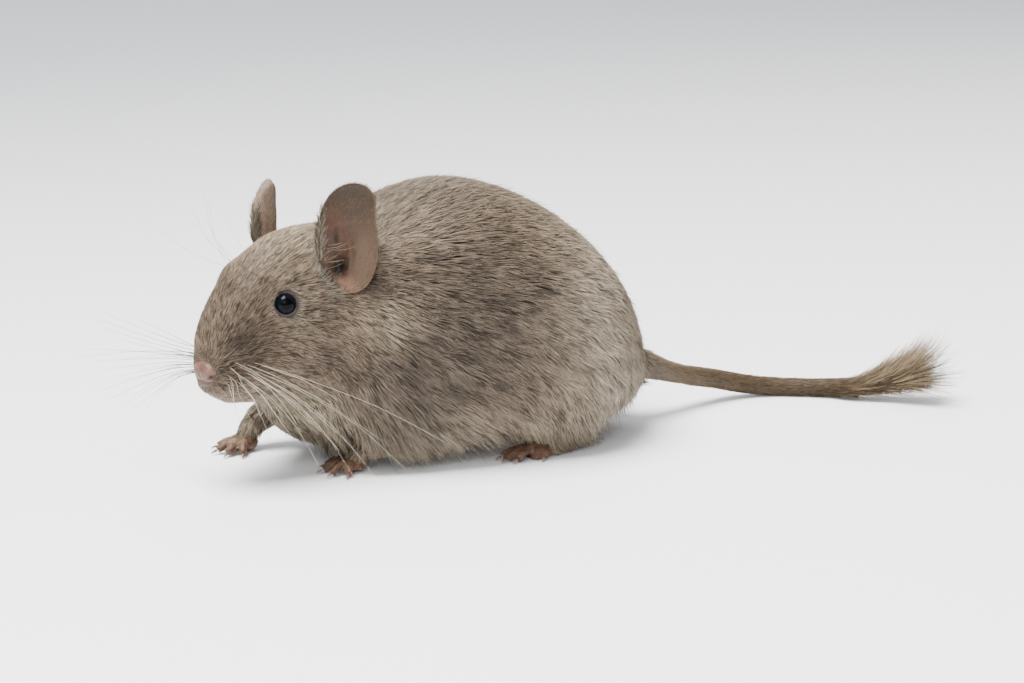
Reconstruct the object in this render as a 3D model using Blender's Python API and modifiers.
"""A life-size degu standing on its four feet, with its head turned a little to its left.

Metres, +Z up. The degu faces -X, its left side is -Y, and it stands on the floor at z = 0.
The origin is on the floor under the middle of the whole model.
"""

import math
import random

import bmesh
import bpy
from mathutils import Matrix, Vector

# Driving sizes of the body, coat included
BODY_LENGTH = 0.108
BODY_HEIGHT = 0.077
BODY_WIDTH = 0.064
CHEST_X = -0.056
CHEST_PLACE = Vector((-0.0495, 0.0, 0.0232))
CHEST_RADII = (0.0152, 0.0150, 0.0172)
GAP = 0.0003
VOXEL = 0.0012
THINNED_SHARE = 0.074

# The head has a frame of its own: turned to the left about the neck, -X towards the nose
HEAD_PIVOT = Vector((-0.040, 0.0, 0.0))
HEAD_TURN = math.radians(18)
HEAD_LENGTH = 0.0485
HEAD_WIDTH = 0.0300
EYE_RADIUS = 0.0033
EYE_PLACE = Vector((-0.0275, 0.0099, 0.0501))
EYE_WAY = Vector((-0.40, 0.88, 0.25)).normalized()
LID_THICKNESS = 0.0015
NOSE_PLACE = Vector((-0.0470, 0.0, 0.0338))
MOUTH_HEIGHT = 0.0268
MOUTH_CORNER_X = -0.0335

EAR_HEIGHT = 0.0290
EAR_WIDTH = 0.0164
EAR_DEPTH = 0.0062
EAR_WALL = 0.0009
EAR_RINGS = 6
EAR_SIDES = 20
EAR_YAW = math.radians(62)
EAR_PLACES = {"left": Vector((-0.0125, -0.0145, 0.0580)), "right": Vector((-0.0140, 0.0155, 0.0556))}

FORELEG_RADIUS = 0.0042
DIGIT_RADIUS = 0.00135
PALM_HEIGHT = 0.0052
ANKLE_HEIGHT = 0.0095
CLAW_LENGTH = 0.0019
CLAW_RADIUS = 0.00055

TAIL_RADIUS = 0.0030
TUFT_LOCKS = 24
TUFT_LENGTH = 0.0150
WHISKER_ROWS = 3
WHISKERS_IN_ROW = 4
WHISKER_RADIUS = 0.0003
FLOOR_CLEARANCE = 0.0012

SIDES = {"left": -1, "right": 1}

SHARP_ANGLE = math.radians(48)
# Linear colour and roughness of each finish
FINISHES = {
    "body_coat": ((0.155, 0.110, 0.068), 0.90),
    "leg_coat": ((0.175, 0.130, 0.085), 0.90),
    "face_coat": ((0.130, 0.094, 0.062), 0.88),
    "pale_coat": ((0.360, 0.280, 0.190), 0.90),
    "tail_coat": ((0.120, 0.082, 0.054), 0.88),
    "tuft_coat": ((0.070, 0.048, 0.034), 0.88),
    "ear_skin": ((0.330, 0.205, 0.135), 0.65),
    "paw_skin": ((0.420, 0.250, 0.180), 0.65),
    "nose_skin": ((0.330, 0.165, 0.120), 0.55),
    "eye_gloss": ((0.006, 0.006, 0.008), 0.05),
    "horn": ((0.480, 0.370, 0.270), 0.40),
}


# Scene, collections and materials

def clear_scene():
    for obj in list(bpy.data.objects):
        bpy.data.objects.remove(obj)


def new_collection(name):
    collection = bpy.data.collections.new(name)
    bpy.context.scene.collection.children.link(collection)
    return collection


def material(name, colour, roughness, metallic=0.0):
    made = bpy.data.materials.new(name)
    made.use_nodes = True
    shader = made.node_tree.nodes["Principled BSDF"]
    shader.inputs["Base Color"].default_value = (*colour, 1.0)
    shader.inputs["Roughness"].default_value = roughness
    shader.inputs["Metallic"].default_value = metallic
    return made


def new_object(name, bm, collection):
    """A mesh object from a bmesh, its faces turned outwards."""
    bmesh.ops.recalc_face_normals(bm, faces=bm.faces)
    mesh = bpy.data.meshes.new(name)
    bm.to_mesh(mesh)
    bm.free()
    obj = bpy.data.objects.new(name, mesh)
    collection.objects.link(obj)
    return obj


def apply_modifiers(obj):
    graph = bpy.context.evaluated_depsgraph_get()
    graph.update()
    mesh = bpy.data.meshes.new_from_object(obj.evaluated_get(graph))
    obj.modifiers.clear()
    obj.data = mesh


def keep_largest_shell(obj):
    """Drops every loose shell of the mesh but the one of the most volume."""
    bm = bmesh.new()
    bm.from_mesh(obj.data)
    unseen = set(bm.verts)
    shells = []
    while unseen:
        front = [unseen.pop()]
        shell = set(front)
        while front:
            for edge in front.pop().link_edges:
                for vert in edge.verts:
                    if vert in unseen:
                        unseen.discard(vert)
                        shell.add(vert)
                        front.append(vert)
        shells.append(shell)

    def span(shell):
        lows = [min(v.co[i] for v in shell) for i in range(3)]
        highs = [max(v.co[i] for v in shell) for i in range(3)]
        return math.dist(lows, highs)

    largest = max(shells, key=span)
    bmesh.ops.delete(bm, geom=[v for v in bm.verts if v not in largest], context="VERTS")
    bm.to_mesh(obj.data)
    bm.free()


# Smooth lines and the forms lofted along them

def smooth_point(points, t):
    """A point of the Catmull-Rom curve through points, t from 0 to 1."""
    spans = len(points) - 1
    place = min(max(t, 0.0), 1.0) * spans
    index = min(int(place), spans - 1)
    u = place - index
    before = points[max(index - 1, 0)]
    start, end = points[index], points[index + 1]
    after = points[min(index + 2, spans)]
    return tuple(
        0.5 * (2 * b + (c - a) * u + (2 * a - 5 * b + 4 * c - d) * u * u + (3 * b - a - 3 * c + d) * u ** 3)
        for a, b, c, d in zip(before, start, end, after)
    )


def loft(name, rings, collection):
    """A closed form through rings of points, alike in number, with a fan over each end."""
    bm = bmesh.new()
    rows = [[bm.verts.new(point) for point in ring] for ring in rings]
    count = len(rows[0])
    for row, following in zip(rows, rows[1:]):
        for i in range(count):
            j = (i + 1) % count
            bm.faces.new((row[i], row[j], following[j], following[i]))
    for row in (rows[0], rows[-1]):
        middle = sum((v.co for v in row), Vector()) / count
        pole = bm.verts.new(middle)
        for i in range(count):
            bm.faces.new((row[i], row[(i + 1) % count], pole))
    return new_object(name, bm, collection)


def station_form(name, stations, rings, sides, collection, squareness=2.2, squareness_below=2.2):
    """A body lofted along X through stations of (x, top, bottom, half width)."""
    made = []
    for ring in range(rings):
        x, top, bottom, half_width = smooth_point(stations, ring / (rings - 1))
        middle, half_height = (top + bottom) / 2, (top - bottom) / 2
        loop = []
        for side in range(sides):
            angle = 2 * math.pi * side / sides
            c, s = math.cos(angle), math.sin(angle)
            power = 2.0 / (squareness if s > 0 else squareness_below)
            loop.append(Vector((
                x,
                half_width * math.copysign(abs(c) ** power, c),
                middle + half_height * math.copysign(abs(s) ** power, s),
            )))
        made.append(loop)
    return loft(name, made, collection)


def tube(name, path, radii, sides, collection, steps=8, flatness=1.0, flat_axis=Vector((0, 0, 1))):
    """A tapered tube along a smooth path. Flatness thins it along flat_axis."""
    rings = []
    for step in range(steps + 1):
        t = step / steps
        centre = Vector(smooth_point(path, t))
        ahead = Vector(smooth_point(path, min(t + 0.02, 1.0)))
        behind = Vector(smooth_point(path, max(t - 0.02, 0.0)))
        along = (ahead - behind).normalized()
        (radius,) = smooth_point([(r,) for r in radii], t)
        thin = flat_axis if abs(flat_axis.dot(along)) < 0.9 else Vector((1, 0, 0))
        thin = (thin - along * thin.dot(along)).normalized()
        wide = along.cross(thin)
        rings.append([
            centre
            + wide * radius * math.cos(2 * math.pi * i / sides)
            + thin * radius * flatness * math.sin(2 * math.pi * i / sides)
            for i in range(sides)
        ])
    return loft(name, rings, collection)


def ellipsoid(name, centre, radii, collection, turn=None, segments=24, rings=16):
    bm = bmesh.new()
    bmesh.ops.create_uvsphere(bm, u_segments=segments, v_segments=rings, radius=1.0)
    bm.transform(Matrix.Diagonal((*radii, 1.0)))
    if turn is not None:
        bm.transform(turn.to_4x4())
    bm.transform(Matrix.Translation(centre))
    return new_object(name, bm, collection)


def hull_form(name, balls, collection):
    """The convex form wrapped over balls, each given as (centre, radius)."""
    shape = bmesh.new()
    for centre, radius in balls:
        bmesh.ops.create_icosphere(shape, subdivisions=2, radius=radius, matrix=Matrix.Translation(centre))
    bm = bmesh.new()
    for vert in shape.verts:
        bm.verts.new(vert.co)
    shape.free()
    bmesh.ops.convex_hull(bm, input=bm.verts)
    bmesh.ops.delete(bm, geom=[vert for vert in bm.verts if not vert.link_faces], context="VERTS")
    return new_object(name, bm, collection)


def box(name, low, high, collection):
    low, high = Vector(low), Vector(high)
    bm = bmesh.new()
    bmesh.ops.create_cube(bm, size=1.0)
    bm.transform(Matrix.Diagonal((*(high - low), 1.0)))
    bm.transform(Matrix.Translation((low + high) / 2))
    return new_object(name, bm, collection)


# Joining, softening and cutting

def as_cutters(objects, collection):
    """Puts the objects in a collection of their own, out of the render."""
    held = bpy.data.collections.new(collection)
    bpy.context.scene.collection.children.link(held)
    for obj in objects:
        for owner in list(obj.users_collection):
            owner.objects.unlink(obj)
        held.objects.link(obj)
        obj.hide_render = True
        obj.display_type = "WIRE"
    return held


def boolean(obj, others, operation, solver="EXACT"):
    """Joins or cuts obj with all the others at once, and removes them."""
    held = as_cutters(others, obj.name + "_" + operation.lower())
    modifier = obj.modifiers.new(operation, "BOOLEAN")
    modifier.operation = operation
    modifier.operand_type = "COLLECTION"
    modifier.collection = held
    modifier.solver = solver
    apply_modifiers(obj)
    for other in others:
        bpy.data.objects.remove(other)
    bpy.data.collections.remove(held)
    keep_largest_shell(obj)


def copy_of(obj, name, collection):
    twin = bpy.data.objects.new(name, obj.data.copy())
    collection.objects.link(twin)
    return twin


def soft_union(name, forms, voxel, passes, share, collection):
    """One skin over overlapping forms, its creases softened, thinned to a share of its triangles."""
    bm = bmesh.new()
    for form in forms:
        bm.from_mesh(form.data)
    whole = new_object(name, bm, collection)
    remesh = whole.modifiers.new("Remesh", "REMESH")
    remesh.mode = "VOXEL"
    remesh.voxel_size = voxel
    smooth = whole.modifiers.new("Smooth", "SMOOTH")
    smooth.factor = 0.5
    smooth.iterations = passes
    thin = whole.modifiers.new("Decimate", "DECIMATE")
    thin.ratio = share
    apply_modifiers(whole)
    keep_largest_shell(whole)
    return whole


# The head's frame

def in_head(point):
    """A place in the head's frame, carried to the body's frame."""
    return Matrix.Rotation(HEAD_TURN, 4, "Z") @ Vector(point) + HEAD_PIVOT


def on_side(point, side):
    """The place mirrored to the left or the right side."""
    return Vector((point[0], side * abs(point[1]), point[2]))


def turn_into_head(obj):
    obj.data.transform(Matrix.Translation(HEAD_PIVOT) @ Matrix.Rotation(HEAD_TURN, 4, "Z"))
    return obj


# Forms of the flesh and coat

def torso_stations():
    """(x, top, bottom, half width) from the chest to the root of the tail."""
    shares = (
        (0.00, 0.66, 0.24, 0.34),
        (0.06, 0.79, 0.10, 0.58),
        (0.13, 0.86, 0.030, 0.74),
        (0.22, 0.93, 0.018, 0.85),
        (0.33, 0.985, 0.020, 0.93),
        (0.44, 1.00, 0.040, 0.98),
        (0.56, 0.965, 0.065, 1.00),
        (0.68, 0.89, 0.075, 0.98),
        (0.78, 0.79, 0.080, 0.90),
        (0.86, 0.68, 0.090, 0.76),
        (0.93, 0.54, 0.110, 0.53),
        (0.98, 0.38, 0.140, 0.29),
        (1.00, 0.29, 0.170, 0.12),
    )
    half = BODY_WIDTH / 2
    return [
        (CHEST_X + along * BODY_LENGTH, top * BODY_HEIGHT, bottom * BODY_HEIGHT, width * half)
        for along, top, bottom, width in shares
    ]


def head_stations():
    """(x, top, bottom, half width) in the head's frame, from the nose to the nape."""
    shares = (
        (1.000, 0.0385, 0.0310, 0.12),
        (0.975, 0.0435, 0.0285, 0.36),
        (0.915, 0.0500, 0.0262, 0.50),
        (0.820, 0.0560, 0.0240, 0.61),
        (0.700, 0.0612, 0.0222, 0.73),
        (0.550, 0.0655, 0.0208, 0.86),
        (0.390, 0.0678, 0.0200, 0.96),
        (0.200, 0.0682, 0.0190, 1.03),
        (0.000, 0.0675, 0.0180, 1.15),
        (-0.20, 0.0660, 0.0180, 1.20),
        (-0.34, 0.0610, 0.0240, 0.90),
    )
    half = HEAD_WIDTH / 2
    return [
        (-along * HEAD_LENGTH, top, bottom, width * half)
        for along, top, bottom, width in shares
    ]


def head_forms(guides):
    forms = [station_form("skull", head_stations(), 30, 32, guides, squareness=2.1)]
    for name, side in SIDES.items():
        forms.append(ellipsoid("cheek", (-0.0190, side * 0.0085, 0.0355), (0.0150, 0.0078, 0.0125), guides))
        forms.append(ellipsoid("brow", (-0.0280, side * 0.0070, 0.0560), (0.0085, 0.0044, 0.0042), guides))
        forms.append(ellipsoid("whisker_pad", (-0.0412, side * 0.0042, 0.0325), (0.0064, 0.0046, 0.0058), guides))
        mound = EAR_PLACES[name] + Vector((0.0005, -side * 0.0035, -0.0010))
        forms.append(ellipsoid("ear_mound", mound, (0.0080, 0.0060, 0.0085), guides))
        lip = [
            (-0.0475, 0.0, MOUTH_HEIGHT + 0.0016),
            (-0.0435, side * 0.0046, MOUTH_HEIGHT + 0.0010),
            (MOUTH_CORNER_X, side * 0.0076, MOUTH_HEIGHT + 0.0004),
        ]
        forms.append(tube("lip", lip, [0.0016, 0.0017, 0.0014], 10, guides))
    forms.append(ellipsoid("chin", (-0.0385, 0.0, 0.0262), (0.0062, 0.0056, 0.0036), guides))
    return [turn_into_head(form) for form in forms]


FORELEGS = {
    # shoulder, elbow, wrist
    "left": [Vector((-0.0220, -0.0180, 0.034)), Vector((-0.0250, -0.0180, 0.016)), Vector((-0.0385, -0.0148, 0.0070))],
    "right": [Vector((-0.0360, 0.0170, 0.034)), Vector((-0.0420, 0.0185, 0.019)), Vector((-0.0582, 0.0192, 0.0084))],
}
FOREPAWS = {
    # middle of the palm, and the way the digits point, in degrees from -X towards -Y
    "left": (Vector((-0.0424, -0.0136, 0.0)), 12),
    "right": (Vector((-0.0624, 0.0182, 0.0)), 20),
}
# For each digit: degrees from the middle of the paw towards its inner side, length, set-back of its root
FORE_DIGITS = ((46, 0.0076, 0.0), (16, 0.0084, 0.0), (-14, 0.0084, 0.0), (-46, 0.0074, 0.0))
HIND_DIGITS = (
    (30, 0.0062, 0.0035),
    (12, 0.0096, 0.0),
    (-3, 0.0092, 0.0),
    (-18, 0.0080, 0.0005),
    (-46, 0.0064, 0.0045),
)
HINDFEET = {
    # heel, ball of the foot, and the way the toes point
    "left": (Vector((0.0235, -0.0180, 0.0)), Vector((0.0085, -0.0228, 0.0)), 8),
    "right": (Vector((0.0235, 0.0180, 0.0)), Vector((0.0085, 0.0228, 0.0)), -8),
}
TAIL_PATH = [
    Vector((0.0400, 0.0000, 0.0235)),
    Vector((0.0500, 0.0000, 0.0190)),
    Vector((0.0600, 0.0020, 0.0143)),
    Vector((0.0710, 0.0055, 0.0103)),
    Vector((0.0830, 0.0086, 0.0070)),
    Vector((0.0930, 0.0094, 0.0042)),
    Vector((0.1030, 0.0072, 0.0026)),
    Vector((0.1135, 0.0010, 0.0026)),
    Vector((0.1220, -0.0060, 0.0036)),
    Vector((0.1280, -0.0118, 0.0054)),
    Vector((0.1320, -0.0160, 0.0073)),
]
TAIL_CUTS = (0.30, 0.52, 0.985)


def body_forms(guides):
    forms = [station_form("trunk", torso_stations(), 34, 36, guides, squareness_below=3.4)]
    for name, side in SIDES.items():
        forms.append(ellipsoid("haunch", (0.0160, side * 0.0180, 0.0255), (0.0240, 0.0145, 0.0235), guides))
        forms.append(ellipsoid("shoulder", (-0.0300, side * 0.0150, 0.0310), (0.0165, 0.0110, 0.0230), guides))
        shoulder, elbow, wrist = FORELEGS[name]
        forms.append(tube("forelimb", [shoulder, elbow, wrist, wrist + (wrist - elbow) * 0.4],
                          [0.0085, 0.0068, FORELEG_RADIUS, FORELEG_RADIUS * 0.8], 16, guides))
        heel, ball, _ = HINDFEET[name]
        forms.append(tube("shank", [Vector((0.0180, side * 0.0225, 0.0190)), heel + Vector((-0.0020, 0.0, 0.0110)),
                                    heel + Vector((0, 0, 0.0060))], [0.0110, 0.0085, 0.0062], 16, guides))
    forms.append(ellipsoid("chest", CHEST_PLACE, CHEST_RADII, guides))
    forms.append(tube("tail_root", TAIL_PATH[:5], [0.0095, 0.0058, 0.0038, 0.0031, TAIL_RADIUS], 16, guides, steps=12))
    return forms


# Parting the body

def beyond_plane(name, point, way, collection):
    """A big block that fills all that lies past the plane through point, on the side of way."""
    size = 0.5
    block = box(name, (0.0, -size / 2, -size / 2), (size, size / 2, size / 2), collection)
    turn = way.normalized().to_track_quat("X", "Z").to_matrix().to_4x4()
    block.data.transform(Matrix.Translation(point) @ turn)
    return block


def part_at_plane(obj, name, point, way, guides, parts):
    """Takes what lies past the plane into a node of its own, a gap away from the rest."""
    piece = copy_of(obj, name, parts)
    way = way.normalized()
    boolean(piece, [beyond_plane("past", point + way * GAP / 2, way, guides)], "INTERSECT")
    boolean(obj, [beyond_plane("past", point - way * GAP / 2, way, guides)], "DIFFERENCE")
    return piece


def part_with_form(obj, name, make_form, parts):
    """Takes what lies inside a form into a node of its own. make_form takes how far it is grown."""
    piece = copy_of(obj, name, parts)
    boolean(piece, [make_form(0.0)], "INTERSECT")
    boolean(obj, [make_form(GAP)], "DIFFERENCE")
    return piece


# The eyes with their lids, and the ears

def eye_forms(side):
    """The middle of an eyeball and the way it looks, in the body's frame."""
    centre = in_head(on_side(EYE_PLACE, side))
    way = in_head(on_side(EYE_PLACE + EYE_WAY, side)) - centre
    return centre, way.normalized()


def ring(name, centre, way, radius, thickness, collection):
    bpy.ops.mesh.primitive_torus_add(
        major_radius=radius, minor_radius=thickness / 2, major_segments=20, minor_segments=5
    )
    made = bpy.context.object
    made.name = name
    for owner in list(made.users_collection):
        owner.objects.unlink(made)
    collection.objects.link(made)
    turn = way.to_track_quat("Z", "Y").to_matrix().to_4x4()
    made.data.transform(Matrix.Translation(centre) @ turn)
    return made


def fit_eyes(head, guides, parts):
    """Raises a ring of lid round each socket and seats the eyeballs in them."""
    lids = []
    for side in SIDES.values():
        centre, way = eye_forms(side)
        lids.append(ring("lid", centre + way * 0.0013, way, EYE_RADIUS * 0.97, LID_THICKNESS, guides))
    boolean(head, lids, "UNION")
    sockets = []
    for name, side in SIDES.items():
        centre, _ = eye_forms(side)
        radius = EYE_RADIUS + GAP
        sockets.append(ellipsoid("socket", centre, (radius,) * 3, guides, segments=16, rings=10))
        ellipsoid("eye_" + name, centre, (EYE_RADIUS,) * 3, parts, segments=16, rings=10)
    boolean(head, sockets, "DIFFERENCE")


def ear_outline(angle):
    """The rim of the ear's cup at an angle round its canal, as (backwards, upwards)."""
    shares = (
        # backwards as a share of the width, upwards as a share of the height, from the tip forwards
        (0.08, 0.785),
        (-0.25, 0.66),
        (-0.42, 0.50),
        (-0.40, 0.22),
        (-0.30, -0.02),
        (-0.02, -0.16),
        (0.28, -0.20),
        (0.52, -0.09),
        (0.585, 0.14),
        (0.51, 0.36),
        (0.46, 0.56),
        (0.36, 0.72),
    )
    count = len(shares)
    place = angle / (2 * math.pi) * count
    index = int(place) % count
    around = [shares[(index + step) % count] for step in (-1, 0, 1, 2)]
    u = place - int(place)
    back, up = (
        0.5 * (2 * b + (c - a) * u + (2 * a - 5 * b + 4 * c - d) * u * u + (3 * b - a - 3 * c + d) * u ** 3)
        for a, b, c, d in zip(*around)
    )
    return Vector((back * EAR_WIDTH, up * EAR_HEIGHT))


def ear_cup(name, side, wider, deeper, rim, collection):
    """A closed cup: the ear's bowl, grown by wider across and deeper below, its lid rim above the edge."""
    rings = []
    count = EAR_SIDES
    for step in range(EAR_RINGS):
        reach = 1 - step / (EAR_RINGS - 1) * 0.90
        loop = []
        for i in range(count):
            angle = 2 * math.pi * i / count
            edge = ear_outline(angle)
            place = edge * reach + edge.normalized() * wider
            height_share = max(edge.y * reach / EAR_HEIGHT, 0.0)
            bowl = EAR_DEPTH * (1 - reach ** 2.2) * (1 - 0.35 * height_share)
            curl = 0.0016 * math.sin(angle * 2.0 + 0.6) * reach ** 2 - 0.0030 * height_share ** 2
            loop.append(Vector((place.x, place.y, curl - bowl - deeper)))
        if step == 0:
            rings.append([point + Vector((0, 0, rim)) for point in loop])
        rings.append(loop)
    cup = loft(name, rings, collection)
    # local x runs backwards, y up and z out of the cup
    backwards = Vector((math.sin(EAR_YAW), side * math.cos(EAR_YAW), 0.0))
    out = Vector((-math.cos(EAR_YAW), side * math.sin(EAR_YAW), 0.0))
    up = Vector((0.10, 0.0, 0.995))
    frame = Matrix((backwards, up, out)).transposed().to_4x4()
    place = EAR_PLACES["left" if side < 0 else "right"]
    cup.data.transform(Matrix.Translation(place + out * 0.0035) @ frame)
    if frame.determinant() < 0:
        cup.data.flip_normals()
    return turn_into_head(cup)


def fit_ears(head, neck, guides, parts):
    for name, side in SIDES.items():
        ear = ear_cup("ear_" + name, side, EAR_WALL / 2, EAR_WALL, 0.0, parts)
        boolean(ear, [ear_cup("hollow", side, -EAR_WALL / 2, 0.0, 0.006, guides)], "DIFFERENCE")
        for flesh in (head, neck):
            boolean(flesh, [ear_cup("seat", side, EAR_WALL / 2 + GAP, EAR_WALL + GAP, 0.006, guides)], "DIFFERENCE")


# Paws, feet and claws

def turned(degrees):
    """The level way at some degrees from -X towards -Y."""
    angle = math.radians(degrees)
    return Vector((-math.cos(angle), -math.sin(angle), 0.0))


def digit_path(root, degrees, length, setback, middle_way):
    way = turned(degrees)
    start = root - middle_way * setback
    return [
        start + way * 0.0010 + Vector((0, 0, PALM_HEIGHT * 0.55)),
        start + way * length * 0.60 + Vector((0, 0, PALM_HEIGHT * 0.56)),
        start + way * length + Vector((0, 0, DIGIT_RADIUS * 0.92)),
    ]


def claw(name, path, parts):
    """A curved claw that starts a gap past the flat end of its digit."""
    tip = path[-1]
    way = (path[-1] - path[-2]).normalized()
    level = Vector((way.x, way.y, 0.0)).normalized()
    root = tip + way * GAP
    end = root + level * CLAW_LENGTH
    end.z = 0.0004
    middle = root.lerp(end, 0.5) + Vector((0, 0, 0.0004))
    return tube(name, [root, middle, end], [CLAW_RADIUS, CLAW_RADIUS * 0.75, CLAW_RADIUS * 0.25], 5, parts, steps=2)


def foot(name, forms, digits, root, heading, inner, guides, parts):
    """Joins a palm's forms and its digits, cuts them level on the floor, and adds the claws."""
    middle_way = turned(heading)
    paths = []
    for spread, length, setback in digits:
        path = digit_path(root, heading + inner * spread, length, setback, middle_way)
        paths.append(path)
        forms.append(tube("digit", path, [DIGIT_RADIUS * 1.15, DIGIT_RADIUS, DIGIT_RADIUS * 0.85], 7, guides, steps=3))
    whole = copy_of(forms[0], name, parts)
    bpy.data.objects.remove(forms[0])
    boolean(whole, forms[1:], "UNION")
    boolean(whole, [box("floor", (-0.2, -0.2, -0.05), (0.2, 0.2, 0.0), guides)], "DIFFERENCE")
    for index, path in enumerate(paths, 1):
        claw(name.replace("paw", "claw").replace("foot", "claw") + "_" + str(index), path, parts)
    return whole


def forepaw(name, guides, parts):
    side = SIDES[name]
    centre, heading = FOREPAWS[name]
    _, elbow, wrist = FORELEGS[name]
    palm = ellipsoid("palm", centre + Vector((0, 0, PALM_HEIGHT * 0.46)),
                     (0.0040, 0.0038, PALM_HEIGHT * 0.52), guides, segments=14, rings=8)
    arm = (wrist - elbow).normalized()
    stub = tube("stub", [wrist - arm * 0.002, wrist + arm * 0.001, wrist.lerp(centre + Vector((0, 0, 0.0030)), 0.8)],
                [FORELEG_RADIUS * 0.86, FORELEG_RADIUS * 0.84, 0.0030], 12, guides, steps=3)
    thumb = digit_path(centre, heading - side * 78, 0.0040, 0.0008, turned(heading))
    nub = tube("thumb", thumb, [DIGIT_RADIUS, DIGIT_RADIUS * 0.8, DIGIT_RADIUS * 0.6], 8, guides, steps=3)
    paw = foot("forepaw_" + name, [palm, stub, nub], FORE_DIGITS, centre, heading, side, guides, parts)
    boolean(paw, [beyond_plane("past", wrist + arm * GAP, -arm, guides)], "DIFFERENCE")


def ankle_form(name, guides):
    """The stub on the heel that the leg is seated on."""
    heel = HINDFEET[name][0]
    path = [heel + Vector((0.0005, 0.0, 0.0018)), heel + Vector((-0.0005, 0.0, ANKLE_HEIGHT))]
    return lambda grow: tube("ankle", [path[0], path[1] + Vector((0, 0, grow))],
                             [FORELEG_RADIUS * 0.85 + grow, FORELEG_RADIUS * 0.80 + grow], 12, guides, steps=2)


def hindfoot(name, guides, parts):
    side = SIDES[name]
    heel, ball, heading = HINDFEET[name]
    rise = Vector((0, 0, PALM_HEIGHT * 0.42))
    sole = tube("sole", [heel + rise, heel.lerp(ball, 0.5) + rise, ball + rise, ball + rise + turned(heading) * 0.002],
                [0.0030, 0.0034, 0.0044, 0.0038], 12, guides, steps=6, flatness=0.62)
    ankle = ankle_form(name, guides)(0.0)
    foot("hindfoot_" + name, [sole, ankle], HIND_DIGITS, ball, heading, side, guides, parts)


# The tail with its tuft, and the whiskers

def tail_radius(t):
    return TAIL_RADIUS * (1.0 - 0.10 * t)


def tail_plane(t):
    """A place on the tail's path and the way the tail runs there."""
    ahead, behind = Vector(smooth_point(TAIL_PATH, t + 0.01)), Vector(smooth_point(TAIL_PATH, t - 0.01))
    return Vector(smooth_point(TAIL_PATH, t)), (ahead - behind).normalized()


def tail_length(name, start, end, guides, parts):
    """A length of the tail between two shares of its path, cut level where it lies on the floor."""
    first, last = start - 0.02, min(end + 0.02, 1.0)
    places = [first + (last - first) * i / 6 for i in range(7)]
    span = [Vector(smooth_point(TAIL_PATH, t)) for t in places]
    length = tube(name, span, [tail_radius(t) for t in places], 14, parts, steps=8)
    point, way = tail_plane(start)
    boolean(length, [beyond_plane("past", point + way * GAP, -way, guides)], "DIFFERENCE")
    boolean(length, [beyond_plane("past", *tail_plane(end), guides)], "DIFFERENCE")
    boolean(length, [box("floor", (-0.2, -0.2, -0.05), (0.3, 0.2, 0.0), guides)], "DIFFERENCE")


def tuft(guides, parts):
    """The brush at the tail's end: a core and flat locks that fan backwards and upwards."""
    chance = random.Random(7)
    root, along = tail_plane(TAIL_CUTS[2])
    up = Vector((0, 0, 1))
    across = along.cross(up).normalized()
    up = across.cross(along).normalized()
    start = root + along * GAP
    rise = up * 0.0010
    core = tube("tail_tuft", [start - along * 0.001, start + along * 0.005 + rise, start + along * 0.010 + rise * 2],
                [TAIL_RADIUS * 0.88, TAIL_RADIUS * 1.05, TAIL_RADIUS * 0.35], 12, parts, steps=5)
    locks = []
    for index in range(TUFT_LOCKS):
        angle = index * 2.399963
        share = (index + 0.5) / TUFT_LOCKS
        around = across * math.cos(angle) + up * math.sin(angle)
        foot_of_lock = start + along * (0.0012 + 0.0070 * share) + rise * share + around * TAIL_RADIUS * 0.25
        spread = 0.42 - 0.16 * share
        lean = up * 0.22
        reach = TUFT_LENGTH * chance.uniform(0.75, 1.1)
        way = (along + around * spread + lean).normalized()
        tip = foot_of_lock + way * reach + up * 0.0015
        tip.z = max(tip.z, FLOOR_CLEARANCE)
        bend = foot_of_lock.lerp(tip, 0.5) + around * 0.0010
        bend.z = max(bend.z, FLOOR_CLEARANCE)
        locks.append(tube("lock", [foot_of_lock, bend, tip], [0.0009, 0.0010, 0.0002], 4, guides,
                          steps=3, flatness=0.5, flat_axis=around))
    boolean(core, locks, "UNION")
    boolean(core, [beyond_plane("past", start, -along, guides)], "DIFFERENCE")


def whisker_way(back, drop, side):
    """The way in the head's frame that points back and down by two angles from straight out sideways."""
    level = math.cos(drop)
    return Vector((math.sin(back) * level, side * math.cos(back) * level, -math.sin(drop)))


def whiskers(muzzle, guides):
    """Tapered spines in three rows on each whisker pad: they droop back on the left, and fan ahead on the right."""
    chance = random.Random(3)
    spines = []
    for side in SIDES.values():
        for row in range(WHISKER_ROWS):
            for place in range(WHISKERS_IN_ROW):
                root = Vector((-0.0450 + 0.0021 * place, side * (0.0036 + 0.0010 * place), 0.0354 - 0.0024 * row))
                length = (0.018 + 0.0135 * place) * chance.uniform(0.88, 1.06)
                if side < 0:
                    length *= 1.04 - 0.17 * row
                    back = math.radians(4 + 16 * place)
                    drop = math.radians(30 + 10 * row - 2 * place)
                else:
                    length = 0.024 + 0.55 * (length - 0.018)
                    back = math.radians(5 * place - 22)
                    drop = math.radians((18 - 2 * place) * row - 8)
                pad = root + whisker_way(back * 0.20, drop * 0.1, side) * 0.007
                bend = root + whisker_way(back * 0.70, drop * 0.6, side) * length * 0.50
                tip = root + whisker_way(back, drop, side) * length
                radii = [WHISKER_RADIUS, WHISKER_RADIUS, WHISKER_RADIUS * 0.85, WHISKER_RADIUS * 0.4]
                spines.append(turn_into_head(tube("spine", [root, pad, bend, tip], radii, 3, guides, steps=4)))
    # The spines cross one another near their roots, where only the manifold solver joins them cleanly
    boolean(muzzle, spines, "UNION", solver="MANIFOLD")


# Colours, shading and the place of the whole

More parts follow.
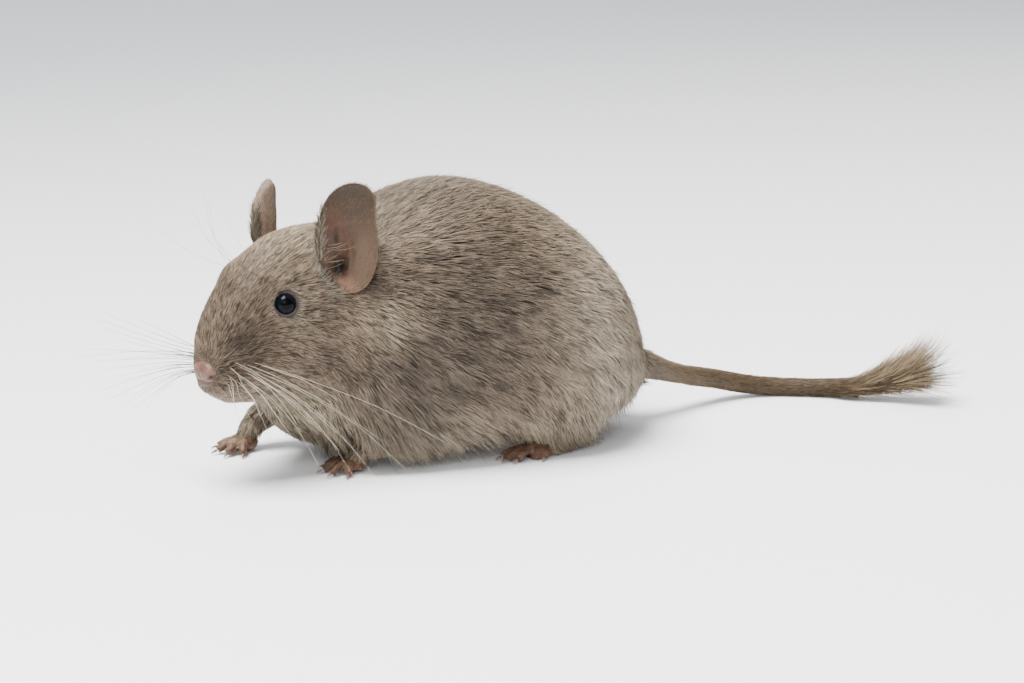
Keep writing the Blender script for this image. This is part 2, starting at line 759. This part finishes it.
def finish_for(name):
    """The finish of a node, from the first of these words that its name holds."""
    choices = (
        ("claw", "horn"),
        ("paw", "paw_skin"),
        ("hindfoot", "paw_skin"),
        ("eye", "eye_gloss"),
        ("ear", "ear_skin"),
        ("nose", "nose_skin"),
        ("muzzle", "face_coat"),
        ("jaw", "pale_coat"),
        ("tuft", "tuft_coat"),
        ("tail", "tail_coat"),
        ("leg", "leg_coat"),
    )
    return next((finish for word, finish in choices if word in name), "body_coat")


def paint(parts):
    """Gives each node a material of its own in the colour of its finish, and shades it smooth."""
    for obj in parts.objects:
        colour, roughness = FINISHES[finish_for(obj.name)]
        obj.data.materials.clear()
        obj.data.materials.append(material(obj.name + "_" + finish_for(obj.name), colour, roughness))
        obj.data.polygons.foreach_set("use_smooth", [True] * len(obj.data.polygons))
        obj.data.set_sharp_from_angle(angle=SHARP_ANGLE)


def place_at_origin(parts):
    """Moves the whole so that the middle of its box stands over the origin, its soles at z = 0."""
    points = [vert.co for obj in parts.objects for vert in obj.data.vertices]
    lows = [min(point[axis] for point in points) for axis in range(3)]
    highs = [max(point[axis] for point in points) for axis in range(3)]
    shift = Matrix.Translation((-(lows[0] + highs[0]) / 2, -(lows[1] + highs[1]) / 2, -lows[2]))
    for obj in parts.objects:
        obj.data.transform(shift)


# The whole animal

def foreleg_region(name, guides):
    shoulder, elbow, wrist = FORELEGS[name]
    beyond = wrist + (wrist - elbow).normalized() * 0.005
    balls = [(shoulder, 0.0120), (elbow, 0.0115), (beyond, 0.0080)]
    return lambda grow: hull_form("region", [(centre, radius + grow) for centre, radius in balls], guides)


def thigh_region(name, guides):
    side = SIDES[name]
    radii = (0.0235, 0.0185, 0.0235)
    return lambda grow: ellipsoid("region", (0.0160, side * 0.0255, 0.0205),
                                  [radius + grow for radius in radii], guides, segments=16, rings=10)


def clear_for_paws(flesh, guides):
    """Lifts the coat of the chest and belly off the paws and feet."""
    rooms = []
    for name in SIDES:
        centre, heading = FOREPAWS[name]
        rooms.append(ellipsoid("room", centre + turned(heading) * 0.003, (0.0125, 0.0115, 0.0062), guides,
                               segments=16, rings=10))
        heel, ball, heading = HINDFEET[name]
        rooms.append(ellipsoid("room", ball + turned(heading) * 0.003, (0.0125, 0.0125, 0.0064), guides,
                               segments=16, rings=10))
        rooms.append(tube("room", [heel - (ball - heel) * 0.3, ball], [0.0050, 0.0060], 14, guides, steps=2))
    boolean(flesh, rooms, "DIFFERENCE")
    boolean(flesh, [box("floor", (-0.2, -0.2, -0.05), (0.3, 0.2, FLOOR_CLEARANCE), guides)], "DIFFERENCE")


def part_head(head, guides, parts):
    """Parts the muzzle, the nose and the lower jaw from the head."""
    forwards = in_head((-1.0, 0.0, 0.20)) - in_head((0.0, 0.0, 0.0))
    muzzle = part_at_plane(head, "muzzle", in_head((-0.0345, 0.0, 0.0400)), forwards, guides, parts)

    def nose_form(grow):
        radii = [radius + grow for radius in (0.0034, 0.0040, 0.0034)]
        return turn_into_head(ellipsoid("nose_form", NOSE_PLACE, radii, guides, segments=16, rings=10))

    def jaw_form(grow):
        low = (-0.0600, -0.0150, 0.0100)
        high = (MOUTH_CORNER_X + 0.0050 + grow, 0.0150, MOUTH_HEIGHT + grow)
        return turn_into_head(box("jaw_form", low, high, guides))

    nose = part_with_form(muzzle, "nose", nose_form, parts)
    jaw = part_with_form(muzzle, "lower_jaw", jaw_form, parts)
    nostrils = []
    for side in SIDES.values():
        place = NOSE_PLACE + Vector((-0.0030, side * 0.0021, -0.0006))
        turn = Matrix.Rotation(side * math.radians(38), 3, "Z") @ Matrix.Rotation(math.radians(-30), 3, "X")
        nostrils.append(turn_into_head(
            ellipsoid("nostril", place, (0.0016, 0.0006, 0.0009), guides, turn, segments=10, rings=8)))
    boolean(nose, nostrils, "DIFFERENCE")
    return muzzle, nose, jaw


def build():
    clear_scene()
    parts = new_collection("degu")
    guides = new_collection("guides")

    forms = head_forms(guides) + body_forms(guides)
    torso = soft_union("torso", forms, VOXEL, 12, THINNED_SHARE, parts)
    for form in forms:
        bpy.data.objects.remove(form)

    clear_for_paws(torso, guides)
    for name in SIDES:
        foreleg = part_with_form(torso, "foreleg_" + name, foreleg_region(name, guides), parts)
        _, elbow, wrist = FORELEGS[name]
        boolean(foreleg, [beyond_plane("past", wrist, wrist - elbow, guides)], "DIFFERENCE")
        boolean(torso, [ankle_form(name, guides)(GAP)], "DIFFERENCE")
        part_with_form(torso, "hindleg_" + name, thigh_region(name, guides), parts)
    head_cut = in_head((-0.0040, 0.0, 0.0450))
    head_way = in_head((-1.0, 0.0, 0.42)) - in_head((0, 0, 0))
    head = part_at_plane(torso, "head", head_cut, head_way, guides, parts)
    neck = part_at_plane(torso, "neck", Vector((-0.0330, 0.0, 0.045)), Vector((-1.0, 0.0, 0.42)), guides, parts)
    tail_way = Vector((1.0, 0.0, -0.40))
    tail_base = part_at_plane(torso, "tail_base", Vector((0.0530, 0.0, 0.0180)), tail_way, guides, parts)
    boolean(tail_base, [beyond_plane("past", *tail_plane(TAIL_CUTS[0]), guides)], "DIFFERENCE")
    fit_eyes(head, guides, parts)
    fit_ears(head, neck, guides, parts)
    muzzle, nose, jaw = part_head(head, guides, parts)
    for name in SIDES:
        forepaw(name, guides, parts)
        hindfoot(name, guides, parts)
    tail_length("tail_middle", TAIL_CUTS[0], TAIL_CUTS[1], guides, parts)
    tail_length("tail_end", TAIL_CUTS[1], TAIL_CUTS[2], guides, parts)
    tuft(guides, parts)
    whiskers(muzzle, guides)
    bpy.data.collections.remove(guides)
    paint(parts)
    place_at_origin(parts)


if __name__ == "__main__":
    build()
